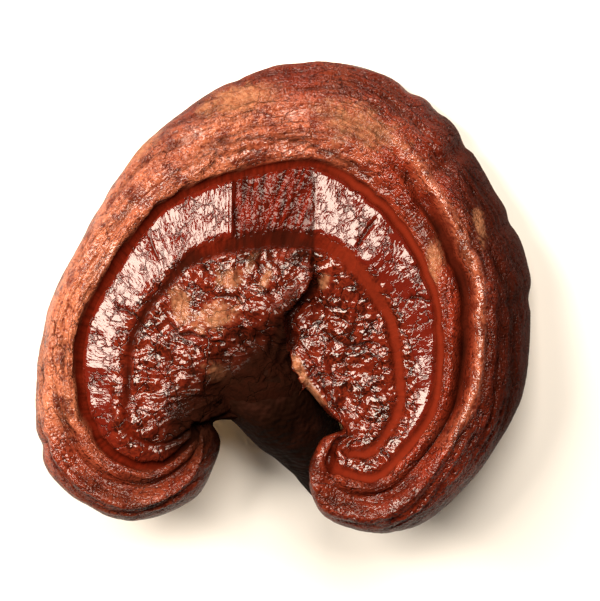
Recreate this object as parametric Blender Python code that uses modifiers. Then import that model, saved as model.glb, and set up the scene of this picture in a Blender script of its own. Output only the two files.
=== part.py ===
"""Reishi mushroom (Ganoderma), dried and picked: a kidney-shaped woody cap on a short side stem.

The cap is laid out in its own frame, in millimetres: X to the right, Y from the notch to the far
margin, Z out of the lacquered top. It is then tipped onto its rest pose, where the far margin and the
cut foot of the stem touch the ground.
"""
import math

import bmesh
import bpy
from mathutils import Matrix, Vector

MM = 0.001

# One row for each growth line, from the left notch corner round the far side to the right corner:
# the root (x, y, z), the margin (x, y) with how deep it droops, and how far out the inner groove,
# the outer groove and the outer ridge lie, as a share of the line.
GROWTH_LINES = (
    (-24.7, -37.0, -6.0, -21.8, -37.9, 9.0, 0.30, 0.50, 0.70),
    (-25.9, -37.0, -4.0, -19.7, -44.8, 10.0, 0.08, 0.16, 0.22),
    (-27.4, -37.3, -3.5, -26.5, -59.9, 12.0, 0.10, 0.20, 0.60),
    (-30.1, -37.0, -3.0, -42.2, -67.2, 13.0, 0.20, 0.40, 0.77),
    (-34.1, -36.1, -2.5, -56.1, -64.5, 13.0, 0.28, 0.49, 0.84),
    (-37.4, -33.4, -2.0, -70.3, -53.0, 13.0, 0.33, 0.53, 0.88),
    (-39.2, -27.3, -1.5, -75.3, -31.0, 13.0, 0.25, 0.60, 0.90),
    (-36.8, -16.5, -0.5, -70.3, -0.8, 14.0, 0.30, 0.67, 0.90),
    (-30.4, -4.4, 0.5, -50.7, 35.5, 14.0, 0.25, 0.62, 0.88),
    (-25.6, 0.2, 1.0, -35.9, 52.4, 12.5, 0.22, 0.58, 0.86),
    (-14.1, 4.4, 1.0, -10.5, 67.5, 6.5, 0.18, 0.53, 0.82),
    (-2.7, 4.4, 0.0, 20.0, 69.9, 5.5, 0.20, 0.54, 0.80),
    (3.4, -1.4, -3.5, 46.0, 57.2, 11.5, 0.28, 0.56, 0.77),
    (8.0, -9.5, -4.0, 62.6, 34.3, 14.0, 0.34, 0.60, 0.76),
    (11.0, -16.5, -4.0, 73.4, 10.7, 16.0, 0.37, 0.59, 0.75),
    (13.5, -23.5, -4.0, 73.7, -22.5, 16.0, 0.39, 0.58, 0.73),
    (17.0, -30.0, -4.0, 65.9, -41.8, 16.0, 0.39, 0.56, 0.72),
    (20.0, -35.5, -4.0, 49.9, -62.4, 15.0, 0.33, 0.49, 0.72),
    (22.0, -39.0, -4.0, 31.2, -71.1, 14.0, 0.24, 0.46, 0.79),
    (22.3, -41.0, -4.0, 13.0, -66.0, 12.0, 0.22, 0.45, 0.88),
    (22.0, -42.0, -4.0, 7.6, -54.5, 10.0, 0.28, 0.55, 0.86),
    (21.0, -42.0, -4.5, 10.9, -43.9, 9.0, 0.30, 0.55, 0.80),
    (20.3, -40.4, -4.5, 17.6, -39.9, 9.0, 0.30, 0.55, 0.80),
)

# Growth lines at the back of the notch, where the rings have run out: root (x, y) and edge (x, y). The
# first two are the free edge beside the stem, and the others are buried in the stem's root.
BACK_LINES = (
    (15.3, -32.5, 12.8, -34.7),
    (8.7, -25.0, 6.0, -27.5),
    (-4.0, -25.0, -4.0, -28.0),
    (-17.0, -34.0, -15.5, -36.5),
)
BACK_LEVEL = -4.0
BACK_DROOP = 10.0
BACK_SHARES = (0.30, 0.55, 0.80)

# Height of the lacquered top over the ring lines, and the relief that the rings have
HEART_LEVEL = -2.0
INNER_GROOVE_LEVEL = -3.5
BAND_LEVEL = 1.2
OUTER_GROOVE_LEVEL = -2.2
ROLL_LEVEL = 2.6
RIDGE_GROOVE_LEVEL = -0.6
RIDGE_LEVEL = 0.6
SHOULDER_SHARE = 0.45
FULL_RELIEF_WIDTH = 25.0

# The heart of the cap, where the growth lines start, and the thickness under the margin
HEART = (5.0, -14.0)
HEART_THICKNESS = 17.0
MARGIN_TURN = 6.5
MARGIN_FULLNESS = 3.0
MARGIN_TUCK = 4.0
PORE_RISE = 2.5

# Stem: its middle line from inside the cap to below the ground, with the radius at each point
STEM_LINE = (
    (-15.5, -12.0, -9.5, 7.0),
    (-10.0, -22.5, -11.5, 14.0),
    (-3.5, -31.0, -16.0, 14.0),
    (5.7, -42.0, -30.0, 11.3),
    (11.0, -50.0, -43.0, 9.8),
    (20.0, -61.5, -64.0, 9.5),
)
STEM_SEGMENTS = 8

# The fork, where the stem leaves the cap: between these two rows of STEM_LINE, square to the stem
FORK_ROWS = (2, 3)
FORK_SHARE = 0.8
FORK_GAP = 0.3

# Rest pose: the cap leans onto its far margin, and rolls until both its low points touch
PITCH = math.radians(-16.0)
ROLL = math.radians(0.0)

# Cutting blocks: the ground, and the two sides of the fork
GROUND_DEPTH = 60.0
BLOCK_SIZE = 400.0


def material(name, colour, roughness):
    """A dielectric surface with one colour."""
    made = bpy.data.materials.new(name)
    made.use_nodes = True
    shader = made.node_tree.nodes["Principled BSDF"]
    shader.inputs["Base Color"].default_value = (*colour, 1.0)
    shader.inputs["Roughness"].default_value = roughness
    shader.inputs["Metallic"].default_value = 0.0
    return made


def collection(name):
    made = bpy.data.collections.new(name)
    bpy.context.scene.collection.children.link(made)
    return made


def blend(start, end, share):
    return start + (end - start) * share


def growth_section(line):
    """Points of one growth line, from the heart over the top and margin to the middle of the underside."""
    root = Vector(line[0:2])
    margin = Vector(line[3:5])
    root_level = line[2]
    droop = line[5]
    inner_groove, outer_groove, ridge = line[6:9]
    heart = Vector(HEART)
    width = (margin - root).length
    relief = min(1.0, width / FULL_RELIEF_WIDTH)
    outward = (margin - root).normalized()
    turn = min(MARGIN_TURN, 0.5 * width)
    margin += outward * MARGIN_FULLNESS * relief

    def top(share, height):
        place = root.lerp(margin, share)
        return (place.x, place.y, blend(root_level, height, relief))

    def under(share, rise):
        place = root.lerp(margin - outward * MARGIN_TUCK * relief, share)
        return (place.x, place.y, rise - droop - turn)

    halfway = heart.lerp(root, 0.5)
    shoulder = blend(ridge, 1.0, SHOULDER_SHARE)
    shoulder_level = blend(RIDGE_LEVEL, -droop, 0.3)
    return (
        (halfway.x, halfway.y, blend(HEART_LEVEL, root_level, 0.5)),
        (root.x, root.y, root_level),
        top(inner_groove, INNER_GROOVE_LEVEL),
        top(blend(inner_groove, outer_groove, 0.5), BAND_LEVEL),
        top(outer_groove, OUTER_GROOVE_LEVEL),
        top(blend(outer_groove, ridge, 0.35), ROLL_LEVEL),
        top(blend(outer_groove, ridge, 0.75), RIDGE_GROOVE_LEVEL),
        top(ridge, RIDGE_LEVEL),
        top(shoulder, shoulder_level),
        (margin.x, margin.y, -droop),
        under(1.0, 0.0),
        under(0.6, PORE_RISE * 0.7 * relief),
        under(0.0, PORE_RISE * relief),
        (halfway.x, halfway.y, blend(HEART_LEVEL - HEART_THICKNESS, PORE_RISE - droop - turn, 0.5)),
    )


def cap_cage():
    """The coarse cage of the cap: one section for each growth line, joined side by side into a closed ring."""
    back = [(*line[0:2], BACK_LEVEL, *line[2:4], BACK_DROOP, *BACK_SHARES) for line in BACK_LINES]
    sections = [growth_section(line) for line in GROWTH_LINES + tuple(back)]
    cage = bmesh.new()
    columns = [[cage.verts.new(Vector(point) * MM) for point in section] for section in sections]
    for here, after in zip(columns, columns[1:] + columns[:1]):
        for row in range(len(here) - 1):
            cage.faces.new((here[row], here[row + 1], after[row + 1], after[row]))
    cage.faces.new([column[0] for column in columns])
    cage.faces.new([column[-1] for column in reversed(columns)])
    bmesh.ops.recalc_face_normals(cage, faces=cage.faces)
    mesh = bpy.data.meshes.new("cap")
    cage.to_mesh(mesh)
    cage.free()
    return mesh


def stem_mesh(name):
    """The stem at full length, as a round curve whose radius follows STEM_LINE, made a closed mesh."""
    curve = bpy.data.curves.new(name, "CURVE")
    curve.dimensions = "3D"
    curve.bevel_depth = MM
    curve.bevel_resolution = 5
    curve.resolution_u = STEM_SEGMENTS
    curve.use_fill_caps = True
    spline = curve.splines.new("NURBS")
    spline.points.add(len(STEM_LINE) - 1)
    for point, (x, y, z, radius) in zip(spline.points, STEM_LINE):
        point.co = (x * MM, y * MM, z * MM, 1.0)
        point.radius = radius
    spline.order_u = 3
    spline.use_endpoint_u = True
    holder = bpy.data.objects.new(name, curve)
    bpy.context.scene.collection.objects.link(holder)
    evaluated = holder.evaluated_get(bpy.context.evaluated_depsgraph_get())
    mesh = bpy.data.meshes.new_from_object(evaluated)
    bpy.data.objects.remove(holder)
    bpy.data.curves.remove(curve)
    body = bmesh.new()
    body.from_mesh(mesh)
    bmesh.ops.remove_doubles(body, verts=body.verts, dist=0.01 * MM)
    bmesh.ops.recalc_face_normals(body, faces=body.faces)
    body.to_mesh(mesh)
    body.free()
    return mesh


def fork_frame(parent):
    """An empty on the stem's middle line at the fork, with its Z axis down along the stem."""
    before, after = (Vector(STEM_LINE[row][0:3]) for row in FORK_ROWS)
    frame = bpy.data.objects.new("fork", None)
    frame.parent = parent
    frame.location = before.lerp(after, FORK_SHARE) * MM
    frame.rotation_euler = (after - before).to_track_quat("Z", "Y").to_euler()
    return frame


def block(name, lower, upper, home, frame=None):
    """A box cutter between two corners, in millimetres of the given frame."""
    body = bmesh.new()
    size = Vector(upper) - Vector(lower)
    middle = (Vector(upper) + Vector(lower)) * 0.5
    place = Matrix.Translation(middle * MM) @ Matrix.Diagonal((*(size * MM), 1.0))
    bmesh.ops.create_cube(body, size=1.0, matrix=place)
    mesh = bpy.data.meshes.new(name)
    body.to_mesh(mesh)
    body.free()
    return hidden(name, mesh, home, frame)


def hidden(name, mesh, home, frame=None):
    """A cutter or tool shape: never shown."""
    tool = bpy.data.objects.new(name, mesh)
    tool.hide_render = True
    tool.display_type = "WIRE"
    tool.parent = frame
    home.objects.link(tool)
    return tool


def boolean(target, tool, operation):
    step = target.modifiers.new(tool.name, "BOOLEAN")
    step.operation = operation
    step.solver = "EXACT"
    step.object = tool


def world_points(part):
    """Every corner of a part as it is evaluated, in world space."""
    bpy.context.view_layer.update()
    evaluated = part.evaluated_get(bpy.context.evaluated_depsgraph_get())
    return [evaluated.matrix_world @ vertex.co for vertex in evaluated.data.vertices]


for left_over in list(bpy.data.objects):
    bpy.data.objects.remove(left_over)

mushroom = collection("reishi_mushroom")
tools = collection("tools")

# The frame that leans the cap and stem into their rest pose
lean = bpy.data.objects.new("lean", None)
lean.rotation_euler = (PITCH, ROLL, 0.0)
mushroom.objects.link(lean)

# Cap: the ringed kidney with the stem's root grown into it, ending flat at the fork
cap = bpy.data.objects.new("cap", cap_cage())
cap.parent = lean
mushroom.objects.link(cap)
cap.data.materials.append(material("lacquered_crust", (0.19, 0.030, 0.014), 0.35))
smoothing = cap.modifiers.new("soft_form", "SUBSURF")
smoothing.levels = 1
smoothing.render_levels = 1
root = hidden("stem_root", stem_mesh("stem_root"), tools, lean)
half = BLOCK_SIZE * 0.5
fork = fork_frame(lean)
tools.objects.link(fork)
below_fork = block("below_fork", (-half, -half, 0.0), (half, half, BLOCK_SIZE), tools, fork)
boolean(root, below_fork, "DIFFERENCE")
boolean(cap, root, "UNION")

# Stem: the same round body from the fork down to its cut foot
stem = bpy.data.objects.new("stem", stem_mesh("stem"))
stem.parent = lean
mushroom.objects.link(stem)
stem.data.materials.append(material("dark_stem_crust", (0.016, 0.006, 0.004), 0.40))
above_fork = block("above_fork", (-half, -half, -BLOCK_SIZE), (half, half, FORK_GAP), tools, fork)
boolean(stem, above_fork, "DIFFERENCE")

# Lift the cap until it just touches the ground, then cut the stem off level with the ground
lean.location.z = -min(point.z for point in world_points(cap))
ground = block("ground", (-half, -half, -GROUND_DEPTH), (half, half, 0.0), tools)
boolean(stem, ground, "DIFFERENCE")

# Put the middle of the footprint on the origin
outline = world_points(cap) + world_points(stem)
lean.location.x = -0.5 * (min(p.x for p in outline) + max(p.x for p in outline))
lean.location.y = -0.5 * (min(p.y for p in outline) + max(p.y for p in outline))

for part in (cap, stem):
    part.data.shade_smooth()
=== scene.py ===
import math

import bpy
import numpy as np
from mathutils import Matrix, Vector, noise


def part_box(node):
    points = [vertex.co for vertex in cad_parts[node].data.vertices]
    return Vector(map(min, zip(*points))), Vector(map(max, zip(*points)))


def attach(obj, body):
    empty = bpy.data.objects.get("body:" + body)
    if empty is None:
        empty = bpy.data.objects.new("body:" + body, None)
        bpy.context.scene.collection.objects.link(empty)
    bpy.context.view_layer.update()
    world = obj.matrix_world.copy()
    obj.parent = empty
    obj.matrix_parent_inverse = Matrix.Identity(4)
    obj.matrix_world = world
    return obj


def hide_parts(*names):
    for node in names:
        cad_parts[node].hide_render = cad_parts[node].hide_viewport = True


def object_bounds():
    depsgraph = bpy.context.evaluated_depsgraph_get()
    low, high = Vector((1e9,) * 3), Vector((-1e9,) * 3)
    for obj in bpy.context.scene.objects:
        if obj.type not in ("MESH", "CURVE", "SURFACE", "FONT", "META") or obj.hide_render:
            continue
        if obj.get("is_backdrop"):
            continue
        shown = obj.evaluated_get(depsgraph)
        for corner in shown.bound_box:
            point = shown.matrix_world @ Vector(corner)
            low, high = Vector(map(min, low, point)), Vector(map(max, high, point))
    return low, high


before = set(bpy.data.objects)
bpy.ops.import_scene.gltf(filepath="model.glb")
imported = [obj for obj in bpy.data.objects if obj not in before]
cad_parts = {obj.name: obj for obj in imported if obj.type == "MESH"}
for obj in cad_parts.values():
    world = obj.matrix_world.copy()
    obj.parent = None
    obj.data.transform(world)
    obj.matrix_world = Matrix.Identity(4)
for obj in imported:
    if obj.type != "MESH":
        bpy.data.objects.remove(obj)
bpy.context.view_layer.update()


# ---------------------------------------------------------------------------------------------
# Cap
# One woody bracket, grown outwards ring by ring from the side stem, so every ring runs from one
# corner of the notch round to the other. Its upper crust is a hard natural lacquer, wrinkled as
# it dried.
# ---------------------------------------------------------------------------------------------

# Sizes are in millimetres in the cap's own frame: X to the right, Y from the notch to the far
# margin, Z out of the lacquered top. The cap is worked out as a grid of points, and not with
# operators, because its channels and folds have to follow the growth lines
MM = 0.001
CAP_LEAN = math.radians(-16.0)

# Growth lines from the left notch corner round to the right one: root (x, y, z), margin (x, y) and
# its droop, then the shares of the line at the inner groove, the outer groove and the outer ridge
GROWTH_LINES = (
    (-24.7, -37.0, -6.0, -21.8, -37.9, 9.0, 0.30, 0.50, 0.70),
    (-25.9, -37.0, -4.0, -19.7, -44.8, 10.0, 0.08, 0.16, 0.22),
    (-27.4, -37.3, -3.5, -26.5, -59.9, 12.0, 0.10, 0.20, 0.60),
    (-30.1, -37.0, -3.0, -42.2, -67.2, 13.0, 0.20, 0.40, 0.77),
    (-34.1, -36.1, -2.5, -56.1, -64.5, 13.0, 0.28, 0.49, 0.84),
    (-37.4, -33.4, -2.0, -70.3, -53.0, 13.0, 0.29, 0.53, 0.88),
    (-39.2, -27.3, -1.5, -75.3, -31.0, 13.0, 0.21, 0.60, 0.90),
    (-36.8, -16.5, -0.5, -70.3, -0.8, 14.0, 0.26, 0.67, 0.90),
    (-30.4, -4.4, 0.5, -50.7, 35.5, 14.0, 0.22, 0.62, 0.88),
    (-25.6, 0.2, 1.0, -35.9, 52.4, 12.5, 0.22, 0.58, 0.86),
    (-14.1, 4.4, 1.0, -10.5, 67.5, 6.5, 0.18, 0.53, 0.82),
    (-2.7, 4.4, 0.0, 20.0, 69.9, 5.5, 0.20, 0.54, 0.80),
    (3.4, -1.4, -3.5, 46.0, 57.2, 11.5, 0.27, 0.54, 0.77),
    (8.0, -9.5, -4.0, 62.6, 34.3, 14.0, 0.31, 0.565, 0.76),
    (11.0, -16.5, -4.0, 73.4, 10.7, 16.0, 0.33, 0.55, 0.75),
    (13.5, -23.5, -4.0, 73.7, -22.5, 16.0, 0.345, 0.535, 0.73),
    (17.0, -30.0, -4.0, 65.9, -41.8, 16.0, 0.345, 0.52, 0.72),
    (20.0, -35.5, -4.0, 49.9, -62.4, 15.0, 0.30, 0.46, 0.72),
    (22.0, -39.0, -4.0, 31.2, -71.1, 14.0, 0.24, 0.46, 0.79),
    (22.3, -41.0, -4.0, 13.0, -66.0, 12.0, 0.22, 0.45, 0.88),
    (22.0, -42.0, -4.0, 7.6, -54.5, 10.0, 0.28, 0.55, 0.86),
    (21.0, -42.0, -4.5, 10.9, -43.9, 9.0, 0.30, 0.55, 0.80),
    (20.3, -40.4, -4.5, 17.6, -39.9, 9.0, 0.30, 0.55, 0.80),
    # The free edge beside the stem, then the back of the notch, buried in the stem's root
    (15.3, -32.5, -4.0, 12.8, -34.7, 10.0, 0.30, 0.55, 0.80),
    (8.7, -25.0, -4.0, 6.0, -27.5, 10.0, 0.30, 0.55, 0.80),
    (3.0, -26.5, -8.0, 3.0, -33.0, 12.0, 0.30, 0.55, 0.80),
    (-5.0, -29.0, -8.0, -5.0, -36.0, 12.0, 0.30, 0.55, 0.80),
    (-15.0, -33.0, -7.0, -14.0, -36.8, 10.0, 0.30, 0.55, 0.80),
)
# The place in the middle of the cap that all growth lines are carried back to
HEART = np.array((5.0, -14.0))

# How finely the cap is divided: round it, then across its top, its roll, its turned edge and its
# underside. Its first and last rows are small circles round the heart, at these shares of the way
TRACE_STEPS = 6000
COLUMNS = 690
ROWS_INSIDE = 76
ROWS_ROLL = 42
ROWS_TURN = 8
ROWS_UNDER = 10
FIRST_ROW = 0.004
LAST_ROW = 0.985

# Body: the width at which the rings stand out in full, how far the margin turns down and tucks in,
# how far the pore surface is hollowed, the thickness at the heart, and the waves of the margin
FULL_RELIEF_WIDTH = 25.0
MARGIN_TURN = 6.5
MARGIN_TUCK = 5.0
PORE_RISE = 2.5
HEART_THICKNESS = 15.0
MARGIN_WAVE = 0.5
MARGIN_WAVE_LENGTH = 23.0
NARROWEST_WAVED = 20.0

# The rings by the growth line that they are on. Each row is a place counted in growth lines, the
# levels of the inner groove, the outer groove and the crest outside it, the half width of the inner
# groove, and how far outside it the smooth band starts
RINGS = (
    (0.0, -3.0, -3.0, -1.0, 0.7, 1.2),
    (4.0, 0.4, -2.6, -0.8, 0.8, 3.5),
    (6.0, 1.6, -2.6, -0.8, 0.9, 4.6),
    (8.0, 1.4, -2.6, -0.7, 1.2, 3.8),
    (9.0, 1.2, -2.6, -0.6, 2.2, 2.6),
    (10.3, 0.2, -2.4, 0.0, 2.5, 2.7),
    (10.9, -1.8, -1.4, 0.4, 2.5, 2.7),
    (11.3, 0.6, -2.4, 0.6, 2.5, 2.7),
    (12.6, 0.6, -2.6, 0.8, 2.2, 2.5),
    (13.6, -2.4, -1.4, 1.4, 1.6, 4.0),
    (15.0, -4.0, -0.5, 1.8, 1.1, 4.6),
    (18.0, -3.9, -0.9, 1.6, 1.0, 4.2),
    (20.0, -3.2, -2.2, 0.0, 0.9, 1.5),
    (28.0, -3.0, -3.0, -1.0, 0.7, 1.2),
)
BAND_BULGE = 0.3
CREST_SHARE = 0.25

# Depths and heights of what follows the rings: the channel inside the rim with its lip, the line
# outside it, the channel inside the band, the outer ridge, the gully inside that and the low ridge
# outside it, and the faint growth rings of the rim
CHANNEL_DEPTH = 1.5
CHANNEL_LIP = 0.5
RIM_LINE_DEPTH = 0.7
INNER_CHANNEL_DEPTH = 1.1
RIDGE_HEIGHT = 2.0
GULLY_DEPTH = 3.6
GULLY_INSIDE = 4.6
LOW_RIDGE_HEIGHT = 0.6
RING_HEIGHT = 0.4

# The sunken panel across the top of the band, whose darker tone is partly its own and partly painted
# shade: its sides, its depth, and the raised lip on its left side
PANEL_LEFT = -16.0
PANEL_RIGHT = 9.2
PANEL_DEPTH = 1.1
PANEL_LIP = 0.9

# The long crease: how far right it lies at each height up the cap, and how far its left lip stands up
CREASE_YS = (-34.0, -29.5, -26.4, -22.0, -14.0, -9.5, -4.7, -0.8, 3.8, 20.0, 36.0)
CREASE_XS = (11.0, 6.2, 4.6, 2.2, 1.0, 0.4, 0.0, 4.6, 8.0, 8.3, 8.6)
CREASE_LIPS = (0.0, 0.0, 0.0, 0.0, 1.2, 2.6, 3.4, 3.4, 2.6, 1.2, 0.4)
CREASE_WIDTH = 1.0
LIP_REACH = 7.0
TRENCH_DEPTH = 1.8

# The basin right of the crease, and the mound left of it, which falls away into the stem's root
BASIN_LEVEL = -5.4
BASIN_WAVE = 1.2
LEFT_LEVEL = 0.8
MOUND_PLACE = (-19.0, -14.0)
MOUND_REACH = 15.0
MOUND_LEVEL = 2.6
ROOT_PLACE = (-4.0, -30.0)
ROOT_LEVEL = -13.0
ROOT_BLEND = 2.5

# Dents of the margin, and how deep they are
DENTS = (
    (-13.5, 65.1), (37.5, 62.1), (46.3, 57.0), (54.1, 45.5), (69.8, 23.7), (73.7, -0.2), (-73.6, -44.8),
)
DENT_DEPTH = 1.1
DENT_REACH = 3.0

# A valley that runs out over the rim at the upper right: a place on it, the way it runs, its depth
VALLEY_PLACE = (50.0, 42.0)
VALLEY_WAY = (0.61, 0.79)
VALLEY_DEPTH = 1.6

# The free edge of the right lobe, over the stem, where the crust is torn and shows tan flesh
FREE_EDGE_YS = (-37.9, -33.7, -27.3, -20.7, -14.6, -10.4)
FREE_EDGE_XS = (16.7, 11.8, 6.1, 2.5, 1.1, 0.0)

# Places and sizes of the patches of tan spore dust: x, y, half length, half width, turn in degrees
PATCH_SPREAD = 1.2
DUST_PATCHES = (
    (-15.0, 59.0, 12.0, 4.5, 12.0), (22.0, 51.0, 14.0, 6.0, -25.0), (-31.0, -2.5, 3.6, 6.6, 8.0),
    (-20.5, -5.5, 8.5, 4.2, 22.0), (-16.5, 5.5, 3.6, 4.0, 60.0), (-10.0, 10.0, 1.5, 3.4, -15.0),
    (-19.5, -22.5, 5.0, 3.2, -20.0), (45.0, 10.0, 2.4, 7.0, 5.0), (-45.0, 44.0, 9.0, 3.0, 40.0),
    (58.0, 22.0, 1.8, 6.0, 10.0), (-6.0, 5.5, 1.6, 4.2, -20.0), (12.0, 5.0, 1.6, 2.8, -20.0),
    (-31.0, 62.0, 6.0, 2.6, 25.0),
)

# Patches of the rim where the lacquer is thick and polished, set out in the same way
POLISHED_PATCHES = (
    (9.0, 41.8, 9.0, 2.0, -12.0), (3.0, 55.0, 6.0, 2.4, 0.0), (-26.5, 49.0, 5.0, 2.6, 25.0),
    (57.0, -9.5, 1.6, 12.0, 0.0), (-65.5, -46.0, 2.0, 7.0, 15.0), (50.0, -47.5, 2.0, 9.0, -35.0),
    (30.0, -62.0, 7.0, 1.6, 20.0), (44.0, 46.0, 2.0, 6.0, 35.0), (-45.0, -55.0, 6.0, 1.6, -30.0),
)

# Folds of the crust: how far apart they lie, then how high they stand on the inner crust, where they
# are sunk by as much as they rise. A sheet of the band is calmer, round this place
FOLD_SPACING = 4.2
SMALL_FOLD_SPACING = 2.1
CROSS_FOLD_SPACING = 2.4
LONG_FOLD_SPACING = 4.6
STREAK_SPACING = 2.2
FOLD_HEIGHT = 0.95
SMALL_FOLD_HEIGHT = 0.5
LONG_FOLD_HEIGHT = 1.3
FOLD_SINK = 0.7
THIN_LINE_DEPTH = 0.65
CALM_SHEET_PLACE = (17.0, 28.0)
CALM_SHEET_REACH = 10.0
CALM_SHEET_SHARE = 0.6

# The radius at which the folds round the stem's root are as far apart as they should be
ROOT_RADIUS = 22.0

# Drying cracks in the crust: half width, depth, and the places that each one runs through. They
# waver by so much over so many millimetres
CRACK_WAVER = 0.6
CRACK_WAVER_LENGTH = 2.5
CRACKS = (
    (0.45, 0.9, ((11.5, -10.0), (15.0, -12.6), (19.4, -14.6), (24.5, -13.4), (28.0, -13.9))),
    (0.45, 0.9, ((21.2, -6.0), (20.3, -10.5), (19.4, -14.6), (17.8, -18.4), (18.6, -22.5))),
    (0.50, 0.9, ((-34.0, -7.8), (-31.0, -10.9), (-27.4, -10.6), (-23.8, -11.8), (-20.5, -13.4),
                 (-17.8, -13.6))),
    (0.45, 0.8, ((-21.5, -0.6), (-18.8, 0.8), (-16.6, 0.2), (-14.2, 0.3), (-12.6, -1.6))),
    (0.50, 0.9, ((-35.5, -22.0), (-33.6, -18.0), (-34.6, -14.2), (-33.0, -11.0))),
    (0.45, 0.8, ((-28.6, -27.6), (-27.0, -22.6), (-27.8, -18.2), (-26.0, -14.4))),
    (0.40, 0.8, ((-41.0, 19.6), (-39.6, 15.6), (-38.0, 12.0))),
    (0.45, 0.9, ((-50.2, -2.6), (-46.0, -4.0), (-42.6, -6.8))),
    (0.45, 0.8, ((27.0, 23.4), (24.6, 19.6), (22.0, 15.8))),
    (0.45, 0.8, ((43.6, -1.2), (40.0, 0.2), (37.8, 0.0))),
    (0.40, 0.7, ((-29.0, 41.0), (-22.0, 43.0), (-17.0, 41.6), (-12.0, 44.0), (-6.0, 43.2))),
    (0.40, 0.7, ((-24.0, 38.2), (-21.0, 40.4), (-20.2, 44.2))),
    (0.50, 0.8, ((-20.0, 46.8), (-10.0, 47.6), (0.0, 47.4), (9.0, 45.2), (18.0, 41.4), (26.0, 36.0))),
)

# Middle line of the stem with its radius, from inside the cap to below the ground
STEM_LINE = (
    (-15.5, -12.0, -9.5, 7.0),
    (-10.0, -22.5, -11.5, 14.0),
    (-3.5, -31.0, -16.0, 14.0),
    (5.7, -42.0, -30.0, 11.3),
    (11.0, -50.0, -43.0, 9.8),
    (20.0, -61.5, -64.0, 9.5),
)

# The cap is swollen over the stem, whose line is followed in so many steps. Where there is no stem,
# its upper side counts as this far down
STEM_TRACE_STEPS = 70
FAR_DOWN = 40.0


def closed_spline(rows, places):
    """Smooth values through rows of numbers round a closed loop, at places counted in rows."""
    rows = np.array(rows)
    start = np.floor(places).astype(int)
    t = (places - start)[:, None]
    before, here, after, beyond = (rows[(start + step) % len(rows)] for step in (-1, 0, 1, 2))
    slope = after - before
    bend = 2 * before - 5 * here + 4 * after - beyond
    twist = 3 * here - before - 3 * after + beyond
    return here + 0.5 * (slope * t + bend * t**2 + twist * t**3)


def soft_line(points, count):
    """Points of a quadratic B-spline that starts and ends on the first and last control point."""
    points = np.array(points)
    knots = np.vstack((points[:1], 0.5 * (points[1:-2] + points[2:-1]), points[-1:]))
    line = []
    for place in np.linspace(0.0, len(knots) - 1 - 1e-9, count):
        span = int(place)
        t = place - span
        bent = (1 - t) ** 2 * knots[span] + 2 * t * (1 - t) * points[span + 1] + t**2 * knots[span + 1]
        line.append(bent)
    return np.array(line)


def smooth(low, high, value):
    """0 below low, 1 above high, with an even slope between; low may be the larger."""
    t = np.clip((value - low) / (high - low), 0.0, 1.0)
    return t * t * (3.0 - 2.0 * t)


def mix(a, b, share):
    return a + (b - a) * share


def hump(distance, width):
    """1 at no distance, falling away softly to almost 0 at twice the width."""
    return np.exp(-((distance / width) ** 2))


def noise_of(x, y, z=0.0):
    """Smooth noise from about -1 to 1, one value for each place."""
    x, y, z = np.broadcast_arrays(x, y, z)
    values = [noise.noise(Vector(place)) for place in zip(x.flat, y.flat, z.flat)]
    return np.array(values).reshape(x.shape)


def normals_of(points):
    """Outward normals of a grid of points that closes round its columns."""
    along = np.roll(points, -1, axis=0) - np.roll(points, 1, axis=0)
    across = np.gradient(points, axis=1)
    cross = np.cross(along, across)
    length = np.linalg.norm(cross, axis=2, keepdims=True)
    return cross / np.maximum(length, 1e-9)


def stem_top(x, y):
    """Height of the upper side of the stem over each place, far down where there's no stem."""
    top = np.full(x.shape, -FAR_DOWN)
    for cx, cy, cz, radius in soft_line(STEM_LINE, STEM_TRACE_STEPS):
        inside = radius**2 - (x - cx) ** 2 - (y - cy) ** 2
        top = np.where(inside > 0, np.maximum(top, cz + np.sqrt(np.maximum(inside, 0))), top)
    return top


def soft_max(a, b, reach):
    """The larger of two heights, rounded where they meet."""
    h = np.clip(0.5 + 0.5 * (a - b) / reach, 0.0, 1.0)
    return mix(b, a, h) + reach * h * (1.0 - h)


# Columns are spread evenly along the margin
PLACES = np.linspace(0.0, len(GROWTH_LINES), TRACE_STEPS)
TRACE = closed_spline(GROWTH_LINES, PLACES)[:, 3:5]
RUN = np.concatenate(((0.0,), np.cumsum(np.linalg.norm(np.diff(TRACE, axis=0), axis=1))))
PLACES = np.interp(np.linspace(0.0, RUN[-1], COLUMNS, endpoint=False), RUN, PLACES)
LINES = closed_spline(GROWTH_LINES, PLACES)

root = LINES[:, 0:2]
root_level = LINES[:, 2:3]
margin = LINES[:, 3:5]
droop = LINES[:, 5:6]
inner_groove, outer_groove, ridge = (LINES[:, k : k + 1] for k in (6, 7, 8))
width = np.linalg.norm(margin - root, axis=1, keepdims=True)
outward = (margin - root) / width
for dent in DENTS:
    away = np.linalg.norm(margin - dent, axis=1, keepdims=True)
    margin = margin - outward * DENT_DEPTH * hump(away, DENT_REACH)
edge_run = np.arange(COLUMNS)[:, None] * RUN[-1] / COLUMNS
edge_wave = noise_of(edge_run / MARGIN_WAVE_LENGTH, 0.5, 3.0) * (width > NARROWEST_WAVED)
margin = margin + outward * MARGIN_WAVE * edge_wave
width = np.linalg.norm(margin - root, axis=1, keepdims=True)
leg = np.linalg.norm(root - HEART, axis=1, keepdims=True)
relief = np.clip(width / FULL_RELIEF_WIDTH, 0.0, 1.0)
crest = mix(outer_groove, 1.0, CREST_SHARE)

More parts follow.
